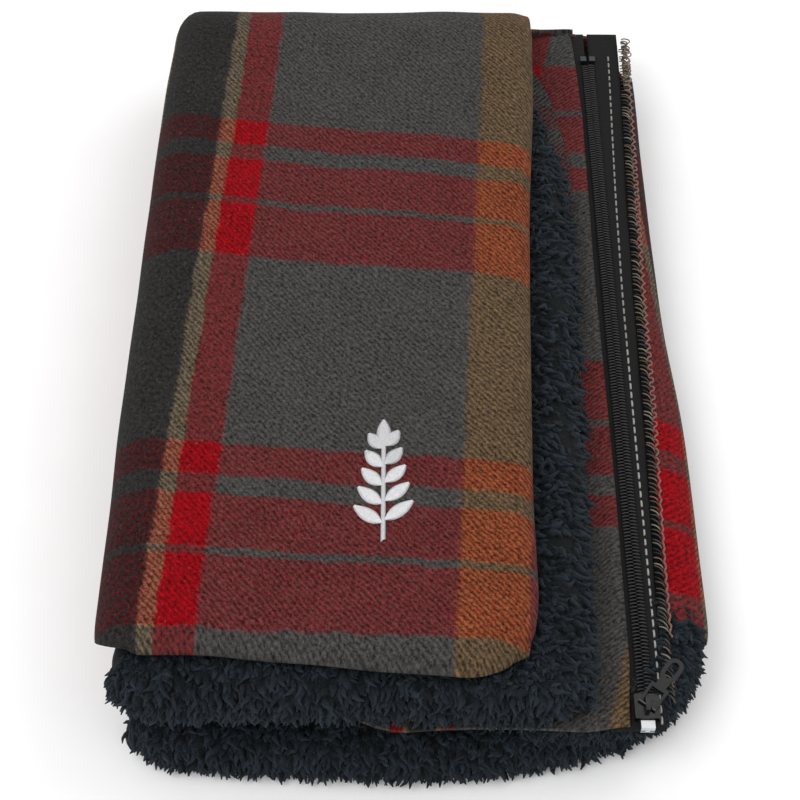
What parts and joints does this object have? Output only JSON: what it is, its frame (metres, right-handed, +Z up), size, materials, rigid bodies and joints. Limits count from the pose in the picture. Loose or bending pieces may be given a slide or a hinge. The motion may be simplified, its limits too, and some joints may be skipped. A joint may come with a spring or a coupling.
{
  "type": "zip-up lap blanket",
  "caption": "Folded tartan lap blanket lined with curly pile, with a coil zip, sliding slider and hinged pull tab along one side.",
  "frame": {"origin": "on the resting plane, under the middle of the folded bundle", "axes": "+Z up; +Y along the zip from the slider end to the far fold; +X towards the zip side"},
  "size_m": [0.222, 0.362, 0.0644],
  "materials": {
    "brushed_tartan": "brushed twill, matte",
    "curly_pile": "curly pile, matte",
    "embroidery_thread": "satin stitch, slight sheen",
    "zip_tape": "woven tape, matte",
    "nylon_coil": "moulded monofilament, satin",
    "bright_crimp": "pressed, bright",
    "pale_thread": "spun thread, matte",
    "serging_thread": "spun thread, matte",
    "black_enamelled_zinc": "enamelled, glossy",
    "spring_steel": "rolled, satin"
  },
  "bodies": {
    "blanket": {"tartan_shell": "brushed_tartan", "pile_lining": "curly_pile", "embroidered_sprig": "embroidery_thread", "zip_tape_inner": "zip_tape", "zip_tape_outer": "zip_tape", "zip_coil_inner": "nylon_coil", "zip_coil_outer": "nylon_coil", "zip_bottom_stop": "bright_crimp", "zip_top_stops": "bright_crimp", "tape_stitches": "pale_thread", "serged_seam_edge": "serging_thread", "serged_wrap_edge": "serging_thread"},
    "slider": {"slider_body": "black_enamelled_zinc", "slider_crown": "black_enamelled_zinc", "slider_lock_spring": "spring_steel"},
    "pull_tab": {"pull_tab": "black_enamelled_zinc"}
  },
  "joints": [
    {"name": "slider_travel", "type": "slide", "parent": "blanket", "child": "slider", "axis": [0, 1, 0], "range_m": [0, 0.322]},
    {"name": "pull_tab_hinge", "type": "hinge", "parent": "slider", "child": "pull_tab", "pos_m": [0.0845, -0.164, 0.0339], "axis": [0.788, -0.6157, 0], "range_deg": [0, 125]}
  ]
}
